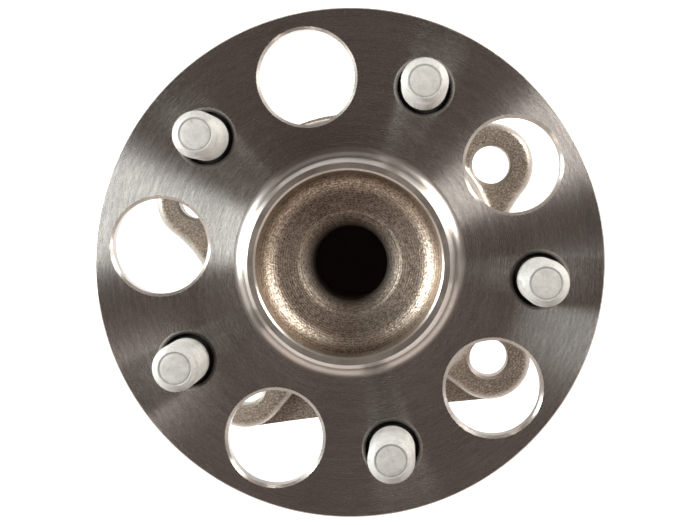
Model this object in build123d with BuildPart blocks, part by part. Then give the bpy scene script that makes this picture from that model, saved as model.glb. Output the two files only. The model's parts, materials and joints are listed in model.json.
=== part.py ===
"""Rear wheel hub and bearing unit for a five-stud wheel on a 100 mm circle.

A forged hub with a turned wheel flange and five pressed-in studs runs on two rows of angular-contact
balls inside a forged outer ring. Four ears on the outer ring bolt to the knuckle or axle beam.
The origin is the centre of the wheel face. +Z points out of the car, along the axis of rotation, and
+Y is the mirror line of the four ears. All lengths are in millimetres and all angles in degrees.
"""

from math import cos, radians, sin, tan
import os

from build123d import *

os.makedirs("parts", exist_ok=True)

# ---------------------------------------------------------------- wheel flange
flange_rim = 4.5  # between the windows and the flange's edge
flange_thickness = 9.0
flange_edge_chamfer = 1.0
boss_clearance = 0.6  # between the windows' rims and the thicker middle of the flange's back
boss_slope_width = 5.0
boss_rise = 2.5

# ---------------------------------------------------------------- wheel studs, M12 x 1.5
stud_count = 5
stud_circle_radius = 50.0
stud_phase = -11.8
stud_thread_radius = 6.0
stud_reach = 34.0  # from the wheel face to the tip
stud_tip_radius = 4.35
stud_tip_length = 2.0
stud_tip_fillet = 0.4
stud_hole_radius = 7.0  # the knurl is pressed in at this size
stud_hole_chamfer = 1.0
stud_knurl_length = 6.2
stud_neck_radius = 5.5
stud_thread_setback = 0.4  # the thread starts this far below the wheel face
stud_head_radius = 10.2
stud_head_thickness = 4.5
stud_head_fillet = 1.2

# ---------------------------------------------------------------- lightening holes, one between each two studs
window_radius = 12.5
window_chamfer = 0.8

# ---------------------------------------------------------------- centring pilots
wheel_pilot_radius = 27.0
wheel_pilot_height = 12.0
wheel_pilot_chamfer = 0.8
disc_pilot_radius = 27.5
disc_pilot_height = 6.0
disc_pilot_chamfer = 0.4
pilot_root_fillet = 3.0

# ---------------------------------------------------------------- forged recess inside the pilots
recess_mouth_radius = 24.2
recess_mouth_chamfer = 0.5
recess_draft_angle = 2.0
recess_depth = 3.5  # inner edge of the floor below the wheel face
recess_floor_slope = 8.0  # the floor rises towards the wall
recess_root_fillet = 6.0
counterbore_radius = 13.4
counterbore_step = 0.6
blind_hole_radius = 9.8
blind_hole_depth = 48.0  # below the wheel face, to the drill's shoulder
blind_hole_funnel = 5.2  # height of the hole's rounded mouth
drill_point_angle = 118.0

# ---------------------------------------------------------------- ball rows
ball_radius = 5.953  # 15/32 in balls
ball_count = 12
pitch_radius = 28.0
row_spacing = 24.0
raceway_clearance = 0.05
shoulder_offset = 3.2  # the raceways' high sides, inside and outside the pitch circle
run_in_offset = 5.7  # their low sides

# ---------------------------------------------------------------- cages
cage_side_gap = 1.0  # to the shoulder inside it and to the one outside it
cage_pocket_clearance = 0.2
cage_back_web = 1.8
cage_prong_reach = 4.4
cage_edge_chamfer = 0.5

# ---------------------------------------------------------------- outer ring
ring_gap = 6.0  # open gap between the flange's back and the ring's front
ring_front_length = 16.0  # ring front to the middle of the outboard row
ring_rear_length = 12.0  # middle of the inboard row to the ring's end
barrel_wall = 3.5  # round the seal's seat
barrel_machined_length = 12.0
barrel_edge_chamfer = 0.8
forging_allowance = 0.9  # the forged skin stands proud of the turned barrel
forging_slope_length = 2.0
knuckle_pilot_step = 0.5  # the pilot is turned this much below the barrel
knuckle_pilot_length = 10.0
knuckle_pilot_chamfer = 1.5
knuckle_relief_width = 1.6  # groove in the knuckle face, round the pilot
knuckle_relief_depth = 0.4

# ---------------------------------------------------------------- ears of the outer ring
ear_thickness = 13.0
ear_radius = 11.7
ear_offset = 7.4  # from the forged barrel to the ears' bolt circle
upper_ear_angle = 62.2  # either side of +Y
lower_ear_angle = 47.3  # either side of -Y
ear_body_ledge = 1.5  # the body's edge stands proud of the barrel, above and below
ear_waist_ledge = 0.9  # and at the waist on either side
ear_front_fillet = 2.2
ear_crook_fillet = 5.0  # where the upper ears leave the body
ear_sole_hollow = 0.5  # the body's lower edge, between the lower ears
web_setback = 4.0  # from the ears' front face to the front of the body's edge above and below
barrel_root_fillet = 2.4
knuckle_hole_radius = 5.32  # tapped M12 x 1.25, at the thread's minor diameter
knuckle_hole_chamfer = 0.8

# ---------------------------------------------------------------- outboard seal
seal_land_step = 2.2  # from the raceway's shoulder up to the seal's land
seal_land_overlap = 1.0  # land carried on past the seal's inner wall
seal_seat_step = 1.3  # from the raceway's low side out to the seal's seat
seal_seat_depth = 5.6
seal_sheet = 0.8
slinger_sheet = 0.6
slinger_rim_gap = 1.4  # slinger's edge to the seal's seat
slinger_gap = 0.8  # slinger to the ring's front face
lip_reach = 2.8  # from the case's wall in to the slinger
lip_gap = 0.15
lip_thickness = 0.9
lip_edge = 0.4  # width of each lip's tip

# ---------------------------------------------------------------- spindle end, inner ring and lock nut
spindle_radius = 16.0
spindle_corner_fillet = 0.6
inner_ring_bore_chamfer = 1.0
inner_ring_overhang = 8.0  # either side of the inboard row's middle
ring_edge_chamfer = 0.5
clamp_gap = 0.6  # spindle seat ends short of the inner ring, so that the nut clamps the ring
thread_radius = 13.0
spindle_end_chamfer = 1.2
nut_height = 7.0
nut_across_flats = 32.0
nut_collar_radius = 19.0
nut_collar_height = 2.0
nut_stake_radius = 15.0
nut_stake_height = 1.2

# ---------------------------------------------------------------- rear cap
cap_sheet = 1.2
cap_seat_length = 4.5
cap_dome_step = 3.0
cap_dome_shoulder = 1.5
cap_clearance = 2.0  # spindle end to the inside of the cap
cap_fillet = 3.0

# ---------------------------------------------------------------- when two edges count as the same size or height
same_size = 0.01

# ---------------------------------------------------------------- radii that follow
flange_radius = stud_circle_radius + window_radius + flange_rim
boss_radius = stud_circle_radius - window_radius - window_chamfer - boss_clearance
groove_radius = ball_radius + raceway_clearance
outer_land_radius = pitch_radius + shoulder_offset
outer_run_in_radius = pitch_radius + run_in_offset
inner_shoulder_radius = pitch_radius - shoulder_offset
inner_land_radius = pitch_radius - run_in_offset
cage_outer_radius = outer_land_radius - cage_side_gap
cage_inner_radius = inner_shoulder_radius + cage_side_gap
seal_land_radius = inner_shoulder_radius + seal_land_step
seal_seat_radius = outer_run_in_radius + seal_seat_step
slinger_outer_radius = seal_land_radius + slinger_sheet
slinger_flange_radius = seal_seat_radius - slinger_rim_gap
seal_wall_bore = slinger_outer_radius + lip_reach
barrel_radius = seal_seat_radius + barrel_wall
forged_barrel_radius = barrel_radius + forging_allowance
knuckle_pilot_radius = barrel_radius - knuckle_pilot_step
ear_circle_radius = forged_barrel_radius + ear_offset
cap_dome_radius = seal_seat_radius - cap_dome_step

# ---------------------------------------------------------------- places along the axis
flange_back_z = -flange_thickness
ring_front_z = flange_back_z - ring_gap
outboard_row_z = ring_front_z - ring_front_length
inboard_row_z = outboard_row_z - row_spacing
ring_rear_z = inboard_row_z - ring_rear_length
knuckle_face_z = ring_rear_z + knuckle_pilot_length
ear_front_z = knuckle_face_z + ear_thickness
seal_seat_z = ring_front_z - seal_seat_depth
seal_land_end_z = seal_seat_z - seal_land_overlap
inner_ring_front_z = inboard_row_z + inner_ring_overhang
inner_ring_rear_z = inboard_row_z - inner_ring_overhang
nut_rear_z = inner_ring_rear_z - nut_height
spindle_end_z = nut_rear_z - nut_stake_height
cap_floor_z = spindle_end_z - cap_clearance
cap_mouth_z = ring_rear_z + cap_seat_length


def polar(radius, angle):
    """A point on a circle about the hub's axis."""
    return radius * cos(radians(angle)), radius * sin(radians(angle))


def half_plane(x=0.0, y=0.0):
    """A plane through the hub's axis, or through an axis parallel to it: X is the radius, Y is the height."""
    return Plane(origin=(x, y, 0), x_dir=(1, 0, 0), z_dir=(0, -1, 0))


def corner(section, radius, height):
    """The corner of a section in a half plane that lies at a radius and height."""
    return section.vertices().sort_by_distance((radius, height))[0]


stud_angles = [stud_phase + 360 / stud_count * i for i in range(stud_count)]
stud_centres = [polar(stud_circle_radius, a) for a in stud_angles]
window_centres = [polar(stud_circle_radius, a + 180 / stud_count) for a in stud_angles]

# ================================================================ hub forging
wall_run = tan(radians(recess_draft_angle))
floor_rise = tan(radians(recess_floor_slope))
floor_run = recess_mouth_radius - wheel_pilot_height * wall_run - counterbore_radius
recess_root_z = (floor_run * floor_rise - recess_depth) / (1 - wall_run * floor_rise)
recess_root_radius = recess_mouth_radius - (wheel_pilot_height - recess_root_z) * wall_run
funnel_radius = counterbore_radius - counterbore_step
funnel_top_z = -recess_depth - counterbore_step
funnel_foot_z = funnel_top_z - blind_hole_funnel
drill_point_height = blind_hole_radius / tan(radians(drill_point_angle / 2))

with BuildPart() as hub:
    with BuildSketch(half_plane()) as hub_section:
        with BuildLine():
            TangentArc((blind_hole_radius, funnel_foot_z), (funnel_radius, funnel_top_z), tangent=(0, 1))
            Polyline(
                (funnel_radius, funnel_top_z),
                (counterbore_radius, -recess_depth),
                (recess_root_radius, recess_root_z),
                (recess_mouth_radius, wheel_pilot_height),
                (wheel_pilot_radius, wheel_pilot_height),
                (wheel_pilot_radius, disc_pilot_height),
                (disc_pilot_radius, disc_pilot_height),
                (disc_pilot_radius, 0),
                (flange_radius, 0),
                (flange_radius, flange_back_z),
                (boss_radius, flange_back_z),
                (boss_radius - boss_slope_width, flange_back_z - boss_rise),
                (seal_land_radius, flange_back_z - boss_rise),
                (seal_land_radius, seal_land_end_z),
                (inner_shoulder_radius, seal_land_end_z - (seal_land_radius - inner_shoulder_radius)),
                (inner_shoulder_radius, outboard_row_z),
                (inner_land_radius, outboard_row_z),
                (inner_land_radius, inner_ring_front_z),
                (spindle_radius, inner_ring_front_z),
                (spindle_radius, inner_ring_rear_z + clamp_gap),
                (thread_radius, inner_ring_rear_z + clamp_gap),
                (thread_radius, spindle_end_z),
                (0, spindle_end_z),
                (0, -blind_hole_depth - drill_point_height),
                (blind_hole_radius, -blind_hole_depth),
                (blind_hole_radius, funnel_foot_z),
            )
        make_face()
        fillet(corner(hub_section, recess_root_radius, recess_root_z), recess_root_fillet)
        fillet(corner(hub_section, disc_pilot_radius, 0), pilot_root_fillet)
        fillet(corner(hub_section, spindle_radius, inner_ring_front_z), spindle_corner_fillet)
        chamfer(corner(hub_section, recess_mouth_radius, wheel_pilot_height), recess_mouth_chamfer)
        chamfer(corner(hub_section, wheel_pilot_radius, wheel_pilot_height), wheel_pilot_chamfer)
        chamfer(corner(hub_section, disc_pilot_radius, disc_pilot_height), disc_pilot_chamfer)
        chamfer(corner(hub_section, flange_radius, 0), flange_edge_chamfer)
        chamfer(corner(hub_section, flange_radius, flange_back_z), flange_edge_chamfer)
        chamfer(corner(hub_section, thread_radius, spindle_end_z), spindle_end_chamfer)
    revolve(axis=Axis.Z)
    with Locations((0, 0, outboard_row_z)):
        Torus(pitch_radius, groove_radius, mode=Mode.SUBTRACT)
    with BuildSketch(Plane.XY.offset(flange_back_z)):
        with Locations(*stud_centres):
            Circle(stud_hole_radius)
        with Locations(*window_centres):
            Circle(window_radius)
    extrude(amount=flange_thickness, mode=Mode.SUBTRACT)
    rims = hub.edges().filter_by(GeomType.CIRCLE)
    rims = rims.filter_by(lambda e: abs(e.arc_center.X) + abs(e.arc_center.Y) > same_size)
    chamfer(rims.filter_by(lambda e: abs(e.radius - window_radius) < same_size), window_chamfer)
    front_rims = rims.filter_by(lambda e: abs(e.arc_center.Z) < same_size)
    chamfer(front_rims.filter_by(lambda e: abs(e.radius - stud_hole_radius) < same_size), stud_hole_chamfer)
hub.part.label = "hub"
export_step(hub.part, "parts/hub.step")

# ================================================================ wheel studs
stud_head_z = flange_back_z - stud_head_thickness
knurl_end_z = flange_back_z + stud_knurl_length
stud_profile = [
    (0, stud_head_z),
    (stud_head_radius, stud_head_z),
    (stud_head_radius, flange_back_z),
    (stud_hole_radius, flange_back_z),
    (stud_hole_radius, knurl_end_z),
    (stud_neck_radius, knurl_end_z + stud_hole_radius - stud_neck_radius),
    (stud_neck_radius, stud_neck_radius - stud_thread_radius - stud_thread_setback),
    (stud_thread_radius, -stud_thread_setback),
    (stud_thread_radius, stud_reach - stud_tip_length),
    (stud_tip_radius, stud_reach),
    (0, stud_reach),
]
for number, (x, y) in enumerate(stud_centres, 1):
    with BuildPart() as wheel_stud:
        with BuildSketch(half_plane(x, y)):
            with BuildLine():
                Polyline(*stud_profile, close=True)
            make_face()
        revolve(axis=Axis((x, y, 0), (0, 0, 1)))
        fillet(wheel_stud.edges().group_by(Axis.Z)[0], stud_head_fillet)
        fillet(wheel_stud.edges().group_by(Axis.Z)[-1], stud_tip_fillet)
    wheel_stud.part.label = f"wheel_stud_{number}"
    export_step(wheel_stud.part, f"parts/wheel_stud_{number}.step")

# ================================================================ inboard inner ring
with BuildPart() as inner_ring:
    with BuildSketch(half_plane()) as inner_ring_section:
        with BuildLine():
            Polyline(
                (spindle_radius, inner_ring_rear_z),
                (inner_shoulder_radius, inner_ring_rear_z),
                (inner_shoulder_radius, inboard_row_z),
                (inner_land_radius, inboard_row_z),
                (inner_land_radius, inner_ring_front_z),
                (spindle_radius, inner_ring_front_z),
                close=True,
            )
        make_face()
        chamfer(inner_ring_section.vertices().group_by(Axis.X)[0], inner_ring_bore_chamfer)
        chamfer(corner(inner_ring_section, inner_shoulder_radius, inner_ring_rear_z), ring_edge_chamfer)
    revolve(axis=Axis.Z)
    with Locations((0, 0, inboard_row_z)):
        Torus(pitch_radius, groove_radius, mode=Mode.SUBTRACT)
inner_ring.part.label = "inner_ring"
export_step(inner_ring.part, "parts/inner_ring.step")

# ================================================================ lock nut, staked to the spindle's end
with BuildPart() as lock_nut:
    with BuildSketch(Plane.XY.offset(inner_ring_rear_z)):
        Circle(nut_collar_radius)
    extrude(amount=-nut_collar_height)
    with BuildSketch(Plane.XY.offset(inner_ring_rear_z)):
        RegularPolygon(nut_across_flats / 2, 6, major_radius=False)
    extrude(amount=-nut_height)
    with BuildSketch(Plane.XY.offset(inner_ring_rear_z)):
        Circle(nut_stake_radius)
    extrude(amount=-(nut_height + nut_stake_height))
    with BuildSketch(Plane.XY.offset(inner_ring_rear_z)):
        Circle(thread_radius)
    extrude(amount=-(nut_height + nut_stake_height), mode=Mode.SUBTRACT)
lock_nut.part.label = "lock_nut"
export_step(lock_nut.part, "parts/lock_nut.step")

# ================================================================ balls and cages
# Each cage is a crown: a closed ring on the row's outer side, with prongs between the balls that reach
# towards the bearing's middle. Its pockets are bored radially.
rows = {"outboard": (outboard_row_z, 1), "inboard": (inboard_row_z, -1)}
ball_angles = [360 / ball_count * i for i in range(ball_count)]
pocket_radius = ball_radius + cage_pocket_clearance

for side, (row_z, outwards) in rows.items():
    for number, angle in enumerate(ball_angles, 1):
        with BuildPart() as ball:
            with Locations((*polar(pitch_radius, angle), row_z)):
                Sphere(ball_radius)
        ball.part.label = f"ball_{side}_{number:02d}"
        export_step(ball.part, f"parts/ball_{side}_{number:02d}.step")

    cage_back_z = row_z + outwards * (pocket_radius + cage_back_web)
    cage_mouth_z = row_z - outwards * cage_prong_reach
    with BuildPart() as cage:
        with BuildSketch(half_plane()) as cage_section:
            with BuildLine():
                Polyline(
                    (cage_inner_radius, cage_mouth_z),
                    (cage_outer_radius, cage_mouth_z),
                    (cage_outer_radius, cage_back_z),
                    (cage_inner_radius, cage_back_z),
                    close=True,
                )
            make_face()
            chamfer(cage_section.vertices(), cage_edge_chamfer)
        revolve(axis=Axis.Z)
        for angle in ball_angles:
            spoke = Plane(origin=(0, 0, row_z), x_dir=(0, 0, 1), z_dir=(*polar(1, angle), 0))
            with BuildSketch(spoke):
                Circle(pocket_radius)
            extrude(amount=outer_land_radius, mode=Mode.SUBTRACT)
    cage.part.label = f"cage_{side}"
    export_step(cage.part, f"parts/cage_{side}.step")

# ================================================================ outer ring with its four ears
# Full-thickness plates join the upper and the lower ear at either side, and a thinner web does so below.
# Each has a hollow edge: an arc that meets both ears without a corner.
ear_angles = [90 - upper_ear_angle, 90 + upper_ear_angle, 270 - lower_ear_angle, 270 + lower_ear_angle]
ear_centres = [polar(ear_circle_radius, a) for a in ear_angles]
ear_body_radius = forged_barrel_radius + ear_body_ledge
web_thickness = ear_thickness - web_setback


def hollow(first_angle, second_angle, reach):
    """Centre and radius of the arc that hollows the edge between two ears to a reach from the axis."""
    along = ear_circle_radius * cos(radians((second_angle - first_angle) / 2))
    sag = ear_circle_radius**2 + reach**2 - ear_radius**2 - 2 * reach * along
    curve = sag / (2 * (ear_radius - reach + along))
    return polar(reach + curve, (first_angle + second_angle) / 2), curve


def draw_ears():
    """Draw the four ears, each with a bar that reaches in to the axis, in the sketch that is open."""
    with Locations(*ear_centres):
        Circle(ear_radius)
    for angle in ear_angles:
        with Locations(Location((0, 0), angle)):
            Rectangle(ear_circle_radius, 2 * ear_radius, align=(Align.MIN, Align.CENTER))


upper_ear, _, other_lower_ear, lower_ear = ear_centres
waist_centre, waist_curve = hollow(
    lower_ear_angle - 90, 90 - upper_ear_angle, forged_barrel_radius + ear_waist_ledge
)
sole_centre, sole_curve = hollow(
    270 - lower_ear_angle,
    270 + lower_ear_angle,
    ear_circle_radius * cos(radians(lower_ear_angle)) + ear_radius - ear_sole_hollow,
)
ear_hole_rim = knuckle_hole_radius + knuckle_hole_chamfer
ear_hole_profile = [
    (0, knuckle_face_z),
    (ear_hole_rim, knuckle_face_z),
    (knuckle_hole_radius, knuckle_face_z + knuckle_hole_chamfer),
    (knuckle_hole_radius, ear_front_z - knuckle_hole_chamfer),
    (ear_hole_rim, ear_front_z),
    (ear_hole_rim, ear_front_z + barrel_root_fillet),
    (0, ear_front_z + barrel_root_fillet),
]

with BuildPart() as waist_plates:
    with BuildSketch(Plane.XY.offset(knuckle_face_z)):
        Polygon((0, 0), lower_ear, waist_centre, upper_ear, align=None)
        with Locations(waist_centre):
            Circle(waist_curve, mode=Mode.SUBTRACT)
    extrude(amount=ear_thickness)
    rims = waist_plates.edges().group_by(Axis.Z)[-1]
    fillet(rims.filter_by(GeomType.CIRCLE), ear_front_fillet)
    mirror(about=Plane.YZ)

with BuildPart() as outer_ring:
    with BuildSketch(Plane.XY.offset(knuckle_face_z)) as web:
        Circle(ear_body_radius)
        draw_ears()
        fillet(web.vertices().sort_by_distance((0, ear_body_radius))[:2], ear_crook_fillet)
        with Locations(waist_centre, (-waist_centre[0], waist_centre[1])):
            Circle(waist_curve, mode=Mode.SUBTRACT)
        Polygon((0, 0), lower_ear, sole_centre, other_lower_ear, align=None)
        with Locations(sole_centre):
            Circle(sole_curve, mode=Mode.SUBTRACT)
    extrude(amount=web_thickness)
    with BuildSketch(Plane.XY.offset(knuckle_face_z)):
        draw_ears()
    extrude(amount=ear_thickness)
    fillet(outer_ring.edges().group_by(Axis.Z)[-1], ear_front_fillet)
    with BuildSketch(half_plane()) as barrel_section:
        with BuildLine():
            Polyline(
                (outer_land_radius, ring_front_z),
                (barrel_radius, ring_front_z),
                (barrel_radius, ring_front_z - barrel_machined_length),
                (forged_barrel_radius, ring_front_z - barrel_machined_length - forging_slope_length),
                (forged_barrel_radius, knuckle_face_z),
                (knuckle_pilot_radius, knuckle_face_z),
                (knuckle_pilot_radius, ring_rear_z),
                (outer_land_radius, ring_rear_z),
                close=True,
            )
        make_face()
        chamfer(corner(barrel_section, barrel_radius, ring_front_z), barrel_edge_chamfer)
        chamfer(corner(barrel_section, knuckle_pilot_radius, ring_rear_z), knuckle_pilot_chamfer)
    revolve(axis=Axis.Z)
    ear_roots = outer_ring.edges().filter_by(GeomType.CIRCLE)
    ear_roots = ear_roots.filter_by(lambda e: abs(e.radius - forged_barrel_radius) < same_size)
    fillet(ear_roots.filter_by(lambda e: abs(e.arc_center.Z - ear_front_z) < same_size), barrel_root_fillet)
    add(waist_plates.part)
    with BuildSketch(half_plane()):
        with BuildLine():
            Polyline(
                (0, ring_front_z),
                (seal_seat_radius, ring_front_z),
                (seal_seat_radius, seal_seat_z),
                (outer_run_in_radius, seal_seat_z),
                (outer_run_in_radius, outboard_row_z),
                (outer_land_radius, outboard_row_z),
                (outer_land_radius, inboard_row_z),
                (outer_run_in_radius, inboard_row_z),
                (outer_run_in_radius, cap_mouth_z),
                (seal_seat_radius, cap_mouth_z),
                (seal_seat_radius, ring_rear_z),
                (0, ring_rear_z),
                close=True,
            )
        make_face()
        with Locations((knuckle_pilot_radius, knuckle_face_z)):
            Rectangle(knuckle_relief_width, knuckle_relief_depth, align=(Align.MIN, Align.MIN))
    revolve(axis=Axis.Z, mode=Mode.SUBTRACT)
    with Locations((0, 0, outboard_row_z), (0, 0, inboard_row_z)):
        Torus(pitch_radius, groove_radius, mode=Mode.SUBTRACT)
    for x, y in ear_centres:
        with BuildSketch(half_plane(x, y)):
            with BuildLine():
                Polyline(*ear_hole_profile, close=True)
            make_face()
        revolve(axis=Axis((x, y, 0), (0, 0, 1)), mode=Mode.SUBTRACT)
outer_ring.part.label = "outer_ring"
export_step(outer_ring.part, "parts/outer_ring.step")

# ================================================================ outboard seal
# A pressed case in the ring's bore carries a rubber element with two lips. They run on a slinger that is
# pressed on the hub.
slinger_front_z = ring_front_z + slinger_gap + slinger_sheet
lip_run_radius = slinger_outer_radius + lip_gap
seal_wall_z = seal_seat_z + seal_sheet

with BuildPart() as seal_slinger:
    with BuildSketch(half_plane()) as slinger_section:
        with BuildLine():
            Polyline(
                (seal_land_radius, slinger_front_z),
                (slinger_flange_radius, slinger_front_z),
                (slinger_flange_radius, slinger_front_z - slinger_sheet),
                (slinger_outer_radius, slinger_front_z - slinger_sheet),
                (slinger_outer_radius, seal_seat_z),
                (seal_land_radius, seal_seat_z),
                close=True,
            )
        make_face()
    revolve(axis=Axis.Z)
seal_slinger.part.label = "seal_slinger"
export_step(seal_slinger.part, "parts/seal_slinger.step")

with BuildPart() as seal_case:
    with BuildSketch(half_plane()):
        with BuildLine():
            Polyline(
                (seal_seat_radius, ring_front_z),
                (seal_seat_radius, seal_seat_z),
                (seal_wall_bore, seal_seat_z),
                (seal_wall_bore, seal_wall_z),
                (seal_seat_radius - seal_sheet, seal_wall_z),
                (seal_seat_radius - seal_sheet, ring_front_z),
                close=True,
            )
        make_face()
    revolve(axis=Axis.Z)
seal_case.part.label = "seal_case"
export_step(seal_case.part, "parts/seal_case.step")

with BuildPart() as seal_lips:
    with BuildSketch(half_plane()):
        with BuildLine():
            Polyline(
                (seal_wall_bore, seal_seat_z),
                (seal_wall_bore, seal_wall_z),
                (seal_wall_bore + lip_thickness, seal_wall_z),
                (seal_wall_bore + lip_thickness, seal_wall_z + lip_thickness),
                (seal_wall_bore, seal_wall_z + lip_thickness),
                (lip_run_radius, seal_wall_z + 2 * lip_thickness),
                (lip_run_radius, seal_wall_z + 2 * lip_thickness - lip_edge),
                (seal_wall_bore - lip_thickness, seal_wall_z),
                (lip_run_radius, seal_seat_z + lip_edge),
                (lip_run_radius, seal_seat_z),
                close=True,
            )
        make_face()
    revolve(axis=Axis.Z)
seal_lips.part.label = "seal_lips"
export_step(seal_lips.part, "parts/seal_lips.step")

# ================================================================ rear cap, drawn from sheet
with BuildPart() as rear_cap:
    with BuildSketch(half_plane()) as cap_section:
        with BuildLine():
            Polyline(
                (0, cap_mouth_z),
                (seal_seat_radius, cap_mouth_z),
                (seal_seat_radius, ring_rear_z - cap_dome_shoulder),
                (cap_dome_radius, ring_rear_z - cap_dome_shoulder),
                (cap_dome_radius, cap_floor_z - cap_sheet),
                (0, cap_floor_z - cap_sheet),
                close=True,
            )
        make_face()
    revolve(axis=Axis.Z)
    fillet(rear_cap.edges().group_by(Axis.Z)[0], cap_fillet)
    offset(amount=-cap_sheet, openings=rear_cap.faces().sort_by(Axis.Z)[-1])
rear_cap.part.label = "rear_cap"
export_step(rear_cap.part, "parts/rear_cap.step")
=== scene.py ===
"""A five-stud wheel hub and bearing unit, seen from the wheel side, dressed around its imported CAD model."""

from math import atan2, cos, degrees, floor, pi, radians, sin, tan
import json

import bmesh
import bpy
from mathutils import Matrix, Vector
from mathutils.geometry import tessellate_polygon


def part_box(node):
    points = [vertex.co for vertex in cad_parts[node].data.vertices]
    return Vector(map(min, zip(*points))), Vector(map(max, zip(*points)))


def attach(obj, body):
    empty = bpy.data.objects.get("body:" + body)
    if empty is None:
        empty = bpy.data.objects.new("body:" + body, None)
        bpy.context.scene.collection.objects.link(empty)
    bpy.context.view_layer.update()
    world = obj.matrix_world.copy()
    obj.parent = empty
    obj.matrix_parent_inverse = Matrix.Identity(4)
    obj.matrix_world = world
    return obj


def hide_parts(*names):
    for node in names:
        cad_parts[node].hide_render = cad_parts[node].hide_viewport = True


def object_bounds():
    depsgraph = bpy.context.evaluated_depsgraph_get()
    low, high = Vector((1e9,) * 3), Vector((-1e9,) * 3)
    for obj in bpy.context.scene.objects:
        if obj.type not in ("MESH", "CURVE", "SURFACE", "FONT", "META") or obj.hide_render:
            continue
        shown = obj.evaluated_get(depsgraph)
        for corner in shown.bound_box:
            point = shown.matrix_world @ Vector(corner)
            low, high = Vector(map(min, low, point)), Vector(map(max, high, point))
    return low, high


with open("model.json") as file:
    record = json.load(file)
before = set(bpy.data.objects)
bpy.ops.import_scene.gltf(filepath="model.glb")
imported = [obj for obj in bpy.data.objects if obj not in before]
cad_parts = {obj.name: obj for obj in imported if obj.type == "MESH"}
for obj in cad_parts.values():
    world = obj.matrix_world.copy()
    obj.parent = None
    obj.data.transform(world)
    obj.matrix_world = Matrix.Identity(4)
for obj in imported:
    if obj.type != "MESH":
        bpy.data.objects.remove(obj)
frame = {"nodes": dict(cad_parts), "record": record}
cad_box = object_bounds()
MM = 0.001

# ---------------------------------------------------------------- sizes, in millimetres and degrees
mounts = {mount["name"]: mount for mount in frame["record"]["mounts"]}
hub_low, hub_high = (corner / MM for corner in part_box("hub"))
stud_low, stud_high = (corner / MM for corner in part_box("wheel_stud_1"))

flange_radius = (hub_high.x - hub_low.x) / 2
flange_thickness = 9.0
flange_front_chamfer = 0.3
flange_back_chamfer = 1.0
bolt_circle_radius = mounts["wheel_studs"]["dims"]["pcd_mm"] / 2
stud_count = mounts["wheel_studs"]["dims"]["count"]
stud_phase = -11.8

wheel_pilot_radius = mounts["wheel_pilot"]["dims"]["r_mm"]
wheel_pilot_height = hub_high.z
wheel_pilot_chamfer = 0.8
disc_pilot_radius = mounts["disc_pilot"]["dims"]["r_mm"]
disc_pilot_height = 6.0
disc_pilot_chamfer = 0.4
pilot_root_fillet = 3.0

recess_mouth_radius = 24.2
recess_mouth_chamfer = 0.5
recess_draft_angle = 2.0
recess_depth = 3.5
recess_floor_slope = 8.0
recess_root_fillet = 6.0
counterbore_radius = 13.4
counterbore_step = 0.6
counterbore_lip = 0.6
counterbore_lip_curve = [(0.22, 0.32), (0.5, 0.54)]  # out and up from the step's edge
blind_hole_radius = 9.8
blind_hole_depth = 48.0
blind_hole_funnel = 5.2
drill_point_height = blind_hole_radius / tan(radians(59))

boss_radius = 36.1
boss_foot_radius = 31.1
boss_rise = 2.5
seal_land_radius = 27.0
seal_land_end = -21.6
shoulder_radius = 24.8
inner_land_radius = 22.3
raceway_radius = 6.0
raceway_pitch_radius = 28.0
outboard_row = -31.0
inner_ring_front = -47.0
spindle_radius = 16.0
spindle_seat_end = -62.4
spindle_thread_radius = 13.0
spindle_end = hub_low.z
spindle_end_chamfer = 1.2

window_radius = 12.5
window_chamfer = 0.8
stud_hole_radius = 7.0
stud_hole_chamfer = 1.0

thread_radius = mounts["wheel_studs"]["dims"]["stud_r_mm"]
thread_pitch = 1.5
thread_depth = 0.92
thread_crest = 0.14
thread_root = 0.14
thread_run_in = 1.5
stud_tip_height = stud_high.z
stud_head_base = stud_low.z
stud_head_radius = (stud_high.x - stud_low.x) / 2
stud_head_fillet = 1.2
stud_head_bevel = 0.3
stud_head_rim = 2.0
stud_tip_radius = 4.35
stud_tip_length = 2.0
stud_knurl_top = -2.8
stud_neck_radius = 5.5
stud_neck_top = -0.9
knurl_teeth = 40
knurl_depth = 0.35
knurl_rings = (0.05, 3.0)  # heights above the flange's back

RING_STEPS = 360
HOLE_STEPS = 96
STUD_STEPS = 2 * knurl_teeth
THREAD_STEPS = 12
GROOVE_STEPS = 14
FLAT_MARGIN = 0.2  # a narrow band of faces keeps a flat face flat up to its edge

# ---------------------------------------------------------------- mesh helpers


def polar(radius, angle):
    """A point on a circle about the hub's axis."""
    return radius * cos(radians(angle)), radius * sin(radians(angle))


def arc(centre, radius, start, end, steps):
    """Points of an arc in a section, from one angle to another."""
    angles = [start + (end - start) * i / steps for i in range(steps + 1)]
    return [(centre[0] + radius * cos(radians(a)), centre[1] + radius * sin(radians(a))) for a in angles]


def line(start, end, step):
    """Points from start towards end, about a step apart, without the end itself."""
    across = end[0] - start[0]
    up = end[1] - start[1]
    count = max(1, round((across**2 + up**2) ** 0.5 / step))
    return [(start[0] + across * i / count, start[1] + up * i / count) for i in range(count)]


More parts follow.
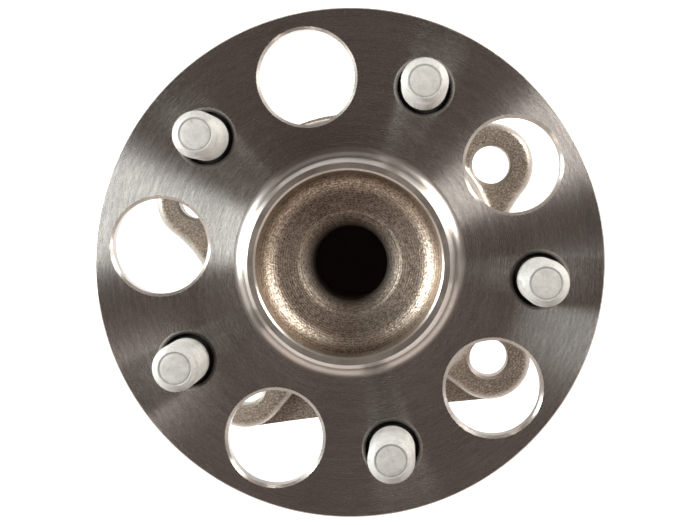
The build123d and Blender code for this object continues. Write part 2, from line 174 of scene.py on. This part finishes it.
class Shell:
    """Vertices and faces in millimetres, gathered ring by ring. A face's zone picks its material."""

    def __init__(self):
        self.vertices = []
        self.faces = []
        self.zones = []

    def rough_ring(self, radii, height, centre, turn):
        """Vertices about an axis parallel to Z, each at a radius of its own. Gives their numbers."""
        first = len(self.vertices)
        for i, radius in enumerate(radii):
            x, y = polar(radius, 360 * i / len(radii) + turn)
            self.vertices.append((centre[0] + x, centre[1] + y, height))
        return list(range(first, first + len(radii)))

    def ring(self, radius, height, count=RING_STEPS, centre=(0, 0), turn=0.0):
        """A round ring of vertices about an axis parallel to Z. Gives their numbers."""
        return self.rough_ring([radius] * count, height, centre, turn)

    def bridge(self, a, b, zone=0):
        """Quads between two rings of the same count."""
        for i in range(len(a)):
            j = (i + 1) % len(a)
            self.faces.append((a[i], a[j], b[j], b[i]))
            self.zones.append(zone)

    def lathe(self, section, count=RING_STEPS, centre=(0, 0), turn=0.0):
        """Bridged rings through a section's points (radius, height, zone). Gives the first and last."""
        first = last = None
        for radius, height, zone in section:
            here = self.ring(radius, height, count, centre, turn)
            if last:
                self.bridge(last, here, zone)
            first = first or here
            last = here
        return first, last

    def cap(self, ring, height, zone=0, centre=(0, 0)):
        """A fan that closes a ring at a point on its axis."""
        self.vertices.append((centre[0], centre[1], height))
        apex = len(self.vertices) - 1
        for i in range(len(ring)):
            self.faces.append((ring[i], ring[(i + 1) % len(ring)], apex))
            self.zones.append(zone)

    def plate(self, outline, holes, zone=0):
        """A flat face with holes, between rings that lie in one plane."""
        loops = [outline] + holes
        order = [v for loop in loops for v in loop]
        for triangle in tessellate_polygon([[Vector(self.vertices[v]) for v in loop] for loop in loops]):
            self.faces.append(tuple(order[i] for i in triangle))
            self.zones.append(zone)

    def piece(self, name, materials, body, nodes, smooth_angle=30):
        """Becomes a piece that rides on a body and stands for CAD nodes."""
        mesh = bpy.data.meshes.new(name)
        mesh.from_pydata([Vector(v) * MM for v in self.vertices], [], self.faces)
        for material in materials:
            mesh.materials.append(material)
        mesh.polygons.foreach_set("material_index", self.zones)
        work = bmesh.new()
        work.from_mesh(mesh)
        bmesh.ops.recalc_face_normals(work, faces=work.faces)
        work.to_mesh(mesh)
        work.free()
        mesh.shade_smooth()
        mesh.set_sharp_from_angle(angle=radians(smooth_angle))
        made = bpy.data.objects.new(name, mesh)
        bpy.context.scene.collection.objects.link(made)
        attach(made, body)
        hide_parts(*nodes)


# ---------------------------------------------------------------- materials


class Nodes:
    """A node tree, emptied, with short calls for the nodes that repeat."""

    def __init__(self, tree):
        self.tree = tree
        self.tree.nodes.clear()

    def add(self, kind, **settings):
        node = self.tree.nodes.new(kind)
        for key, value in settings.items():
            setattr(node, key, value)
        return node

    def link(self, source, target):
        self.tree.links.new(source, target)

    def feed(self, socket, value):
        """Links an output, or sets a value."""
        if isinstance(value, bpy.types.NodeSocket):
            self.link(value, socket)
        else:
            socket.default_value = value

    def math(self, operation, a, b=0.0, c=0.0, clamp=False):
        node = self.add("ShaderNodeMath", operation=operation, use_clamp=clamp)
        for socket, value in zip(node.inputs, (a, b, c)):
            self.feed(socket, value)
        return node.outputs[0]

    def total(self, first, *others, clamp=False):
        """The sum of several values. Clamp holds the last sum between 0 and 1."""
        for other in others[:-1]:
            first = self.math("ADD", first, other)
        return self.math("ADD", first, others[-1], clamp=clamp)

    def remap(self, value, low, high, to_low=0.0, to_high=1.0, interpolation="LINEAR"):
        node = self.add("ShaderNodeMapRange", interpolation_type=interpolation)
        for socket, given in zip(node.inputs, (value, low, high, to_low, to_high)):
            self.feed(socket, given)
        return node.outputs[0]

    def mix(self, factor, a, b):
        """A blend of two colours, each an output or a plain colour."""
        node = self.add("ShaderNodeMix", data_type="RGBA")
        self.feed(node.inputs["Factor"], factor)
        for socket, value in ((node.inputs[6], a), (node.inputs[7], b)):
            self.feed(socket, value if isinstance(value, bpy.types.NodeSocket) else (*value, 1.0))
        return node.outputs[2]

    def axes(self, vector):
        """The X, Y and Z outputs of a vector."""
        node = self.add("ShaderNodeSeparateXYZ")
        self.link(vector, node.inputs[0])
        return node.outputs


class Material(Nodes):
    """A material round one Principled shader."""

    def __init__(self, name):
        self.material = bpy.data.materials.new(name)
        self.material.use_nodes = True
        super().__init__(self.material.node_tree)
        self.shader = self.add("ShaderNodeBsdfPrincipled")
        self.output = self.add("ShaderNodeOutputMaterial")
        self.link(self.shader.outputs[0], self.output.inputs["Surface"])
        self.position = self.add("ShaderNodeTexCoord").outputs["Object"]

    def noise(self, scale, detail=2.0, roughness=0.5, vector=None, dimensions="3D", distortion=0.0):
        """Noise with a scale in cycles per millimetre."""
        node = self.add("ShaderNodeTexNoise", noise_dimensions=dimensions)
        if dimensions == "1D":
            self.feed(node.inputs["W"], vector)
            node.inputs["Scale"].default_value = scale
        else:
            self.feed(node.inputs["Vector"], vector or self.position)
            node.inputs["Scale"].default_value = scale / MM
        node.inputs["Detail"].default_value = detail
        node.inputs["Roughness"].default_value = roughness
        node.inputs["Distortion"].default_value = distortion
        return node.outputs["Fac"]

    def bump(self, height, distance, strength=1.0):
        """A bump whose height is in millimetres."""
        node = self.add("ShaderNodeBump")
        self.feed(node.inputs["Height"], height)
        node.inputs["Distance"].default_value = distance * MM
        node.inputs["Strength"].default_value = strength
        return node.outputs["Normal"]

    def axis_distance(self):
        """Distance from the Z axis, in millimetres."""
        flat = self.add("ShaderNodeVectorMath", operation="MULTIPLY")
        self.link(self.position, flat.inputs[0])
        flat.inputs[1].default_value = (1 / MM, 1 / MM, 0)
        length = self.add("ShaderNodeVectorMath", operation="LENGTH")
        self.link(flat.outputs[0], length.inputs[0])
        return length.outputs["Value"]

    def groove_space(self, across, along):
        """Coordinates for streaks round the Z axis, in cycles per millimetre across and along them."""
        flat = self.add("ShaderNodeVectorMath", operation="MULTIPLY")
        self.link(self.position, flat.inputs[0])
        flat.inputs[1].default_value = (along / MM, along / MM, 0)
        split = self.axes(flat.outputs[0])
        joined = self.add("ShaderNodeCombineXYZ")
        self.link(split["X"], joined.inputs["X"])
        self.link(split["Y"], joined.inputs["Y"])
        self.link(self.math("MULTIPLY", self.axis_distance(), across), joined.inputs["Z"])
        return joined.outputs[0]

    def set(self, **values):
        """Values or outputs for the shader's own sockets."""
        for key, value in values.items():
            socket = self.shader.inputs[key.replace("_", " ")]
            self.feed(socket, (*value, 1.0) if isinstance(value, tuple) else value)

    def round_tangent(self):
        """Grooves that run round the Z axis, so that highlights spread across them."""
        tangent = self.add("ShaderNodeTangent", direction_type="RADIAL", axis="Z")
        self.link(tangent.outputs[0], self.shader.inputs["Tangent"])
        self.shader.inputs["Anisotropic Rotation"].default_value = 0.25


def scaled(colour, factor):
    """A colour made darker or lighter, with no part of it over 1."""
    return tuple(min(1.0, c * factor) for c in colour)


def turned_steel(name, colour, roughness, anisotropy):
    """Bare steel off the lathe: fine grooves round the axis, faint bands and stains, and pale specks."""
    m = Material(name)
    grooves = m.noise(MM, 2.0, 0.6, m.groove_space(1.6, 0.02))
    streaks = m.noise(MM, 3.0, 0.65, m.groove_space(2.4, 0.25))
    bands = m.noise(0.35, 2.0, 0.6, m.axis_distance(), "1D")
    stains = m.noise(0.035, 3.0, 0.55)
    grit = m.noise(1.3, 3.0, 0.75)
    specks = m.noise(1.0, 1.0, 0.4)
    tone = m.total(
        m.remap(grooves, 0.3, 0.7, -0.11, 0.11),
        m.remap(bands, 0.3, 0.7, -0.06, 0.06),
        m.remap(streaks, 0.3, 0.7, -0.07, 0.07),
        m.remap(stains, 0.3, 0.7, -0.15, 0.15),
        m.remap(grit, 0.3, 0.7, -0.07, 0.07),
        m.remap(specks, 0.70, 0.76, 0.0, 0.4),
        0.5,
        clamp=True,
    )
    m.set(
        Base_Color=m.mix(tone, scaled(colour, 0.68), scaled(colour, 1.28)),
        Metallic=1.0,
        Roughness=m.remap(streaks, 0.25, 0.75, roughness - 0.03, roughness + 0.03),
        Anisotropic=anisotropy,
        Normal=m.bump(grooves, 0.020),
    )
    m.round_tangent()
    return m.material


def blasted_steel(name, colour, edge_colour, roughness, grain):
    """Shot-blasted forging: a pebbled skin with bright flecks, paler where its surface slopes between facing
    up and facing sideways, as on its rounded edges.
    """
    m = Material(name)
    pebbles = m.noise(1.1, 4.0, 0.75)
    flecks = m.noise(2.0, 2.0, 0.6)
    stains = m.noise(0.06, 3.0, 0.6)
    shade = m.total(
        m.remap(pebbles, 0.35, 0.65, 0.0, 0.30),
        m.remap(stains, 0.3, 0.7, -0.1, 0.15),
        m.remap(flecks, 0.46, 0.70, 0.0, 0.75),
        clamp=True,
    )
    skin = m.mix(shade, scaled(colour, 0.42), scaled(colour, 2.1))
    facing_up = m.axes(m.add("ShaderNodeNewGeometry").outputs["Normal"])["Z"]
    rounded = m.math("MULTIPLY", m.remap(facing_up, 0.97, 0.86), m.remap(facing_up, 0.12, 0.40))
    edge = m.math("MULTIPLY", rounded, m.remap(pebbles, 0.3, 0.6, 0.75, 0.45))
    m.set(
        Base_Color=m.mix(edge, skin, edge_colour),
        Metallic=0.75,
        Roughness=m.remap(flecks, 0.4, 0.65, roughness + 0.1, roughness - 0.1),
        Normal=m.bump(m.total(pebbles, flecks), grain),
    )
    return m.material


def forged_recess(name, colour, roughness):
    """Sandy forged skin, wire-brushed in rings. Below the recess's floor it turns to painted shade, dull and
    near black, that darkens the funnel and the blind hole.
    """
    ring_spacing = 0.62
    # painted shade colours for the blind hole: near black at its mouth, less dark far down the bore
    painted_hole_shade = (0.035, 0.029, 0.025)
    painted_hole_shade_deep = (0.30, 0.25, 0.22)
    m = Material(name)
    grains = m.noise(1.15, 3.0, 0.7)
    flecks = m.noise(2.1, 2.0, 0.6)
    rings = m.math("SINE", m.math("MULTIPLY", m.axis_distance(), 2 * pi / ring_spacing))
    height = m.math("MULTIPLY_ADD", rings, 0.06, m.math("MULTIPLY_ADD", flecks, 0.6, grains))
    stains = m.noise(0.06, 3.0, 0.6)
    shade = m.total(
        m.remap(grains, 0.38, 0.62, 0.0, 0.4),
        m.remap(flecks, 0.42, 0.60, 0.0, 0.55),
        m.remap(stains, 0.3, 0.7, -0.1, 0.1),
    )
    shade = m.math("MULTIPLY_ADD", rings, 0.12, shade, clamp=True)
    skin = m.mix(shade, scaled(colour, 0.4), scaled(colour, 1.7))
    # painted shade: from 3.2 mm below the face the colour fades to near black down the funnel into the blind
    # hole, less dark again far down, and the metal there turns dull and not metallic
    level = m.axes(m.position)["Z"]
    scale = m.math("POWER", m.remap(level, -3.2 * MM, -8.5 * MM), 0.6)
    depth = m.remap(level, -9.0 * MM, -20.0 * MM)
    gloss = m.remap(flecks, 0.4, 0.65, roughness + 0.06, roughness - 0.06)
    m.set(
        Base_Color=m.mix(scale, skin, m.mix(depth, painted_hole_shade, painted_hole_shade_deep)),
        Metallic=m.math("SUBTRACT", 1.0, scale),
        Roughness=m.total(gloss, m.math("MULTIPLY", scale, 0.3)),
        Normal=m.bump(height, 0.12),
    )
    return m.material


def plain_metal(name, colour, roughness, grain=0.004, scale=3.0, metallic=1.0, spread=0.25):
    """Metal with a fine even skin and slight changes of tone."""
    m = Material(name)
    fine = m.noise(scale, 3.0, 0.6)
    stains = m.noise(0.12, 3.0, 0.6)
    tone = m.total(m.math("MULTIPLY", fine, 0.5), m.math("MULTIPLY", stains, 0.5))
    m.set(
        Base_Color=m.mix(tone, scaled(colour, 1 - spread), scaled(colour, 1 + spread)),
        Metallic=metallic,
        Roughness=m.remap(stains, 0.3, 0.7, roughness - 0.05, roughness + 0.05),
        Normal=m.bump(fine, grain, 0.6),
    )
    return m.material


def zinc_plate(name, colour):
    """Dull zinc on rolled steel: cloudy and scuffed, with painted shade, near black, on the stud in the gap
    below the wheel face.
    """
    # painted shade colour for the stud inside its hole
    painted_gap_shade_colour = (0.03, 0.028, 0.026)
    m = Material(name)
    clouds = m.noise(0.35, 3.0, 0.65)
    scuffs = m.noise(1.5, 4.0, 0.75, distortion=1.2)
    fine = m.noise(2.4, 2.0, 0.6)
    shade = m.total(
        m.remap(clouds, 0.3, 0.7, 0.45, 0.85),
        m.remap(scuffs, 0.30, 0.44, -0.55, 0.0),
        clamp=True,
    )
    skin = m.mix(shade, scaled(colour, 0.45), scaled(colour, 1.12))
    # painted shade: near black on the stud from 0.1 mm below the wheel face down to just above its head,
    # where it sits in its hole
    level = m.axes(m.position)["Z"]
    below_face = m.remap(level, -0.1 * MM, -0.9 * MM)
    above_head = m.remap(level, -8.9 * MM, -8.6 * MM)
    painted_gap_shade = m.math("MULTIPLY", below_face, above_head)
    m.set(
        Base_Color=m.mix(painted_gap_shade, skin, painted_gap_shade_colour),
        Metallic=0.2,
        Roughness=m.remap(scuffs, 0.3, 0.6, 0.66, 0.54),
        Normal=m.bump(m.total(scuffs, fine), 0.05, 0.8),
    )
    return m.material


def soft_plastic(name, colour, roughness):
    """Moulded polyamide or rubber."""
    m = Material(name)
    fine = m.noise(2.0, 2.0, 0.5)
    m.set(
        Base_Color=m.mix(fine, scaled(colour, 0.8), colour),
        Roughness=roughness,
        Normal=m.bump(fine, 0.01, 0.4),
    )
    return m.material


TURNED, FORGED, MACHINED, GROUND, SATIN = range(5)
ZINC, WORN = range(2)
turned = turned_steel("turned_steel", (0.50, 0.48, 0.46), 0.27, 1.0)
forged = forged_recess("forged_recess", (0.40, 0.335, 0.275), 0.43)
machined = turned_steel("machined_steel", (0.62, 0.585, 0.555), 0.30, 0.6)
satin = plain_metal("satin_steel", (0.43, 0.39, 0.35), 0.44, grain=0.04, scale=1.6, spread=0.5)
ground = plain_metal("ground_steel", (0.62, 0.61, 0.60), 0.12, grain=0.001)
zinc = zinc_plate("zinc_plate", (0.55, 0.545, 0.52))
worn_zinc = zinc_plate("worn_zinc", (0.38, 0.375, 0.355))
blasted = blasted_steel("blasted_steel", (0.335, 0.284, 0.235), (0.48, 0.46, 0.425), 0.42, 0.06)
sheet = plain_metal("pressed_sheet", (0.60, 0.60, 0.59), 0.28)
cap_sheet = plain_metal("cap_zinc", (0.66, 0.65, 0.62), 0.38)
phosphate = plain_metal("phosphated_steel", (0.10, 0.10, 0.10), 0.55, metallic=0.8)
polyamide = soft_plastic("polyamide", (0.62, 0.55, 0.40), 0.5)
rubber = soft_plastic("seal_rubber", (0.025, 0.025, 0.025), 0.6)

# ---------------------------------------------------------------- hub forging


def zoned(points, zone):
    """The points of a section, all in one zone."""
    return [(radius, height, zone) for radius, height in points]


def recess_section():
    """From the blind hole's bottom up the forged recess, over both pilots, to the flange's face."""
    draft = radians(recess_draft_angle)
    slope = radians(recess_floor_slope)
    step_radius = counterbore_radius - counterbore_step
    step_height = -recess_depth - counterbore_step
    funnel_width = step_radius - blind_hole_radius
    funnel_curve = (funnel_width**2 + blind_hole_funnel**2) / (2 * funnel_width)
    funnel_end = 180 - 2 * degrees(atan2(funnel_width, blind_hole_funnel))
    funnel_centre = (blind_hole_radius + funnel_curve, step_height - blind_hole_funnel)
    hole_bottom = (blind_hole_radius, -blind_hole_depth)
    hole_mouth = (blind_hole_radius, funnel_centre[1])
    lip = [(step_radius + out, step_height + up) for out, up in counterbore_lip_curve]
    lip_end = (counterbore_radius + counterbore_lip, -recess_depth + counterbore_lip * tan(slope))

    # the root fillet touches the sloping floor and the drafted wall
    root_radius = recess_root_fillet
    foot_height = -recess_depth - counterbore_radius * tan(slope) + root_radius / cos(slope)
    wall_height = wheel_pilot_height - foot_height
    wall_base = recess_mouth_radius - root_radius / cos(draft) - wall_height * tan(draft)
    centre_radius = wall_base / (1 - tan(slope) * tan(draft))
    centre = (centre_radius, foot_height + centre_radius * tan(slope))
    root = arc(centre, root_radius, recess_floor_slope - 90, -recess_draft_angle, 16)
    mouth_radius = recess_mouth_radius - recess_mouth_chamfer * tan(draft)
    mouth = (mouth_radius, wheel_pilot_height - recess_mouth_chamfer)

    forged_points = line(hole_bottom, hole_mouth, 2.0)
    forged_points += arc(funnel_centre, funnel_curve, 180, funnel_end, 12)
    forged_points += lip
    forged_points += line(lip_end, root[0], 0.4)
    forged_points += root[:-1]
    forged_points += line(root[-1], mouth, 0.7)
    forged_points.append(mouth)
    points = zoned(forged_points, FORGED)
    points += [
        (recess_mouth_radius + recess_mouth_chamfer, wheel_pilot_height, MACHINED),
        (wheel_pilot_radius - wheel_pilot_chamfer, wheel_pilot_height, SATIN),
        (wheel_pilot_radius, wheel_pilot_height - wheel_pilot_chamfer, MACHINED),
        (wheel_pilot_radius, disc_pilot_height, MACHINED),
        (disc_pilot_radius - disc_pilot_chamfer, disc_pilot_height, MACHINED),
        (disc_pilot_radius, disc_pilot_height - disc_pilot_chamfer, MACHINED),
    ]
    foot_centre = (disc_pilot_radius + pilot_root_fillet, pilot_root_fillet)
    points += zoned(arc(foot_centre, pilot_root_fillet, 180, 270, 24), MACHINED)
    return points


def spindle_section():
    """From the flange's back down the seal land, the ground raceway and the spindle to its end."""
    back = -flange_thickness
    shoulder_drop = seal_land_radius - shoulder_radius
    high = (raceway_radius**2 - (raceway_pitch_radius - shoulder_radius) ** 2) ** 0.5
    low = (raceway_radius**2 - (raceway_pitch_radius - inner_land_radius) ** 2) ** 0.5
    points = [
        (boss_radius, back, MACHINED),
        (boss_foot_radius, back - boss_rise, MACHINED),
        (seal_land_radius, back - boss_rise, MACHINED),
        (seal_land_radius, seal_land_end, MACHINED),
        (shoulder_radius, seal_land_end - shoulder_drop, MACHINED),
        (shoulder_radius, outboard_row + high, MACHINED),
    ]
    groove = []
    for i in range(1, GROOVE_STEPS):
        height = high - (high + low) * i / GROOVE_STEPS
        groove.append((raceway_pitch_radius - (raceway_radius**2 - height**2) ** 0.5, outboard_row + height))
    points += zoned(groove, GROUND)
    points += [
        (inner_land_radius, outboard_row - low, GROUND),
        (inner_land_radius, inner_ring_front, MACHINED),
        (spindle_radius, inner_ring_front, MACHINED),
        (spindle_radius, spindle_seat_end, MACHINED),
        (spindle_thread_radius, spindle_seat_end, MACHINED),
        (spindle_thread_radius, spindle_end + spindle_end_chamfer, MACHINED),
        (spindle_thread_radius - spindle_end_chamfer, spindle_end, MACHINED),
    ]
    return points


def make_hub():
    """The hub: recess and pilots, a flange with windows and stud holes, and the spindle behind it."""
    shell = Shell()
    back = -flange_thickness
    bottom, face_inner = shell.lathe(recess_section())
    shell.cap(bottom, -blind_hole_depth - drill_point_height, FORGED)
    inner_rim = shell.ring(disc_pilot_radius + pilot_root_fillet + FLAT_MARGIN, 0)
    shell.bridge(face_inner, inner_rim, TURNED)
    face_outer, back_outer = shell.lathe([
        (flange_radius - flange_front_chamfer - FLAT_MARGIN, 0, TURNED),
        (flange_radius - flange_front_chamfer, 0, TURNED),
        (flange_radius, -flange_front_chamfer, MACHINED),
        (flange_radius, back + flange_back_chamfer, MACHINED),
        (flange_radius - flange_back_chamfer, back, MACHINED),
        (flange_radius - flange_back_chamfer - FLAT_MARGIN, back, TURNED),
    ])
    back_inner, spindle_ring = shell.lathe(spindle_section())
    shell.cap(spindle_ring, spindle_end, MACHINED)
    front_holes = []
    back_holes = []
    for i in range(stud_count):
        stud_angle = stud_phase + 360 / stud_count * i
        centre = polar(bolt_circle_radius, stud_angle)
        front, rear = shell.lathe([
            (stud_hole_radius + stud_hole_chamfer, 0, TURNED),
            (stud_hole_radius, -stud_hole_chamfer, MACHINED),
            (stud_hole_radius, back, MACHINED),
        ], HOLE_STEPS, centre)
        front_holes.append(front)
        back_holes.append(rear)
        centre = polar(bolt_circle_radius, stud_angle + 180 / stud_count)
        front, rear = shell.lathe([
            (window_radius + window_chamfer, 0, TURNED),
            (window_radius, -window_chamfer, MACHINED),
            (window_radius, back + window_chamfer, MACHINED),
            (window_radius + window_chamfer, back, MACHINED),
        ], HOLE_STEPS, centre)
        front_holes.append(front)
        back_holes.append(rear)
    shell.plate(face_outer, [inner_rim] + front_holes, TURNED)
    shell.plate(back_outer, [back_inner] + back_holes, TURNED)
    materials = [turned, forged, machined, ground, satin]
    shell.piece("hub_forging", materials, "hub_unit", ["hub"])


make_hub()

# ---------------------------------------------------------------- wheel studs
stud_turn = 67.0  # degrees from one stud to the next, so that their threads differ
thread_stop = 0.06  # below the tip
stud_tip_ring = [  # inwards from the tip's edge, drop and zone
    (0.0, 0.0, ZINC),
    (0.15, 0.0, ZINC),
    (0.40, 0.18, WORN),
    (0.65, 0.06, WORN),
    (1.6, 0.02, ZINC),
]


def thread_cut(phase):
    """Depth of the thread's groove at a phase of 0 to 1, as a share of the full depth."""
    slope = abs(phase - 0.5) * 2
    return min(1.0, max(0.0, (1 - thread_crest - slope) / (1 - thread_root - thread_crest)))


def stud_section_radius(height):
    """The stud's outline at a height, before the thread is cut."""
    share = max(0.0, 1 - (stud_tip_height - height) / stud_tip_length)
    return thread_radius - (thread_radius - stud_tip_radius) * share


def threaded_radius(height, share):
    """The stud's radius at a height and a share of a turn, where its neck runs out into the thread."""
    phase = height / thread_pitch - share
    run_in = min(1.0, (height - stud_neck_top) / thread_run_in)
    crest_radius = thread_radius - thread_depth * thread_cut(phase - floor(phase)) * run_in
    neck_radius = stud_neck_radius + height - stud_neck_top
    return min(stud_section_radius(height), neck_radius, crest_radius)


def make_stud(number):
    """One stud with a round head, a knurled neck, a rolled thread and a blunt tip with a turned edge."""
    centre = polar(bolt_circle_radius, stud_phase + 360 / stud_count * (number - 1))
    turn = stud_turn * number
    back = -flange_thickness
    shell = Shell()
    head_corner = (stud_head_radius - stud_head_fillet, stud_head_base + stud_head_fillet)
    head = [(head_corner[0] - stud_head_rim, stud_head_base)]
    head += arc(head_corner, stud_head_fillet, -90, 0, 6)
    head.append((stud_head_radius, back - stud_head_bevel))
    head.append((stud_head_radius - stud_head_bevel, back))
    head.append((stud_hole_radius, back))
    first, last = shell.lathe(zoned(head, ZINC), STUD_STEPS, centre, turn)
    shell.cap(first, stud_head_base, ZINC, centre)

    knurl = [stud_hole_radius - knurl_depth * (i % 2) for i in range(STUD_STEPS)]
    for height in [back + rise for rise in knurl_rings] + [stud_knurl_top]:
        here = shell.rough_ring(knurl, height, centre, turn)
        shell.bridge(last, here, ZINC)
        last = here
    neck_foot = stud_knurl_top + stud_hole_radius - stud_neck_radius
    neck = shell.ring(stud_neck_radius, neck_foot, STUD_STEPS, centre, turn)
    shell.bridge(last, neck, ZINC)
    last = neck

    height = stud_neck_top
    while height < stud_tip_height - thread_stop:
        radii = [threaded_radius(height, i / STUD_STEPS) for i in range(STUD_STEPS)]
        here = shell.rough_ring(radii, height, centre, turn)
        shell.bridge(last, here, ZINC)
        last = here
        height += thread_pitch / THREAD_STEPS
    tip = [(stud_tip_radius - inwards, stud_tip_height - drop, zone) for inwards, drop, zone in stud_tip_ring]
    first, end = shell.lathe(tip, STUD_STEPS, centre, turn)
    shell.bridge(last, first, ZINC)
    shell.cap(end, stud_tip_height, ZINC, centre)
    nodes = [f"wheel_stud_{number}"]
    shell.piece(f"threaded_stud_{number}", [zinc, worn_zinc], "hub_unit", nodes, 40)


for number in range(1, stud_count + 1):
    make_stud(number)

# ---------------------------------------------------------------- materials of the CAD nodes that stay
node_materials = {
    "outer_ring": blasted,
    "inner_ring": ground,
    "lock_nut": phosphate,
    "cage_outboard": polyamide,
    "cage_inboard": polyamide,
    "seal_case": sheet,
    "seal_slinger": sheet,
    "seal_lips": rubber,
    "rear_cap": cap_sheet,
}
for name, node in frame["nodes"].items():
    material = ground if name.startswith("ball_") else node_materials.get(name)
    if material:
        node.data.materials.clear()
        node.data.materials.append(material)

# ---------------------------------------------------------------- camera
view_distance = 665.4
view_lens = 130.36
view_tilt_x = 1.2476
view_tilt_y = -1.3601
view_roll = 6.763
view_offset = (-0.118, -0.113)

turned_to_view = (
    Matrix.Rotation(radians(view_tilt_x), 3, "X")
    @ Matrix.Rotation(radians(view_tilt_y), 3, "Y")
    @ Matrix.Rotation(radians(view_roll), 3, "Z")
)
camera = bpy.data.objects.new("camera", bpy.data.cameras.new("camera"))
bpy.context.scene.collection.objects.link(camera)
camera.data.lens = view_lens
camera.data.sensor_width = 36
camera.data.clip_start = 0.01
camera.data.clip_end = 20
camera_place = turned_to_view.transposed() @ Vector((-view_offset[0], -view_offset[1], view_distance)) * MM
camera.matrix_world = Matrix.Translation(camera_place) @ turned_to_view.transposed().to_4x4()
bpy.context.scene.camera = camera

# ---------------------------------------------------------------- light


def softbox(name, bearing, distance, height, width, length, power, colour):
    """A soft lamp aimed at the wheel face, at a bearing in the picture. Its place and size are in metres."""
    lamp = bpy.data.lights.new(name, "AREA")
    lamp.shape = "RECTANGLE"
    lamp.size = width
    lamp.size_y = length
    lamp.energy = power
    lamp.color = colour
    holder = bpy.data.objects.new(name, lamp)
    bpy.context.scene.collection.objects.link(holder)
    x, y = polar(distance, bearing - view_roll)
    holder.location = (x, y, height)
    holder.rotation_mode = "QUATERNION"
    holder.rotation_quaternion = Vector((x, y, height)).to_track_quat("Z", "Y")


lamp_place = {"distance": 0.45, "height": 0.21, "length": 0.20}
softbox("left_softbox", bearing=168.5, width=0.205, power=4.0, colour=(0.97, 1.0, 0.99), **lamp_place)
softbox("right_softbox", bearing=30.5, width=0.175, power=3.0, colour=(1.0, 0.965, 0.92), **lamp_place)

room_colour = (0.107, 0.082, 0.073)
foot_card = (0.95, 0.84, 0.77)
head_card = (0.30, 0.28, 0.26)
world = bpy.data.worlds.new("studio")
bpy.context.scene.world = world
world.use_nodes = True


def studio_world(tree):
    """White to the camera. To all else a dim warm room, with low pale cards at its head and foot."""
    m = Nodes(tree)
    coordinates = m.add("ShaderNodeTexCoord")
    turn = m.add("ShaderNodeVectorRotate", rotation_type="Z_AXIS")
    turn.inputs["Angle"].default_value = radians(view_roll)
    m.link(coordinates.outputs["Generated"], turn.inputs["Vector"])
    direction = m.axes(turn.outputs[0])

    def band(axis, start, full):
        return m.remap(direction[axis], start, full, interpolation="SMOOTHSTEP")

    foot_share = m.math("MULTIPLY", band("Z", 0.88, 0.58), band("Y", 0.0, -0.35))
    head_share = m.math("MULTIPLY", band("Z", 0.66, 0.46), band("Y", 0.25, 0.60))
    room = m.add("ShaderNodeBackground")
    m.link(m.mix(head_share, m.mix(foot_share, room_colour, foot_card), head_card), room.inputs["Color"])
    white = m.add("ShaderNodeBackground")
    white.inputs["Color"].default_value = (1, 1, 1, 1)
    path = m.add("ShaderNodeLightPath")
    choice = m.add("ShaderNodeMixShader")
    output = m.add("ShaderNodeOutputWorld")
    m.link(path.outputs["Is Camera Ray"], choice.inputs[0])
    m.link(room.outputs[0], choice.inputs[1])
    m.link(white.outputs[0], choice.inputs[2])
    m.link(choice.outputs[0], output.inputs["Surface"])


studio_world(world.node_tree)

# ---------------------------------------------------------------- floor
floor_half = 4.0
floor_glow = 0.80
floor_height = cad_box[0].z


def floor_material():
    """White paper that keeps a faint shadow."""
    m = Material("studio_floor")
    m.set(Base_Color=(0.8, 0.8, 0.8), Roughness=0.9)
    glow = m.add("ShaderNodeEmission")
    path = m.add("ShaderNodeLightPath")
    seen = m.total(path.outputs["Is Camera Ray"], path.outputs["Is Glossy Ray"], clamp=True)
    m.link(m.math("MULTIPLY", seen, floor_glow), glow.inputs["Strength"])
    both = m.add("ShaderNodeAddShader")
    m.link(m.shader.outputs[0], both.inputs[0])
    m.link(glow.outputs[0], both.inputs[1])
    m.link(both.outputs[0], m.output.inputs["Surface"])
    return m.material


floor_mesh = bpy.data.meshes.new("studio_floor")
corner_signs = ((-1, -1), (1, -1), (1, 1), (-1, 1))
floor_corners = [(floor_half * x, floor_half * y, floor_height) for x, y in corner_signs]
floor_mesh.from_pydata(floor_corners, [], [(0, 1, 2, 3)])
floor_mesh.materials.append(floor_material())
studio_floor = bpy.data.objects.new("studio_floor", floor_mesh)
bpy.context.scene.collection.objects.link(studio_floor)

bpy.context.scene.view_settings.view_transform = "Standard"

bpy.context.view_layer.update()
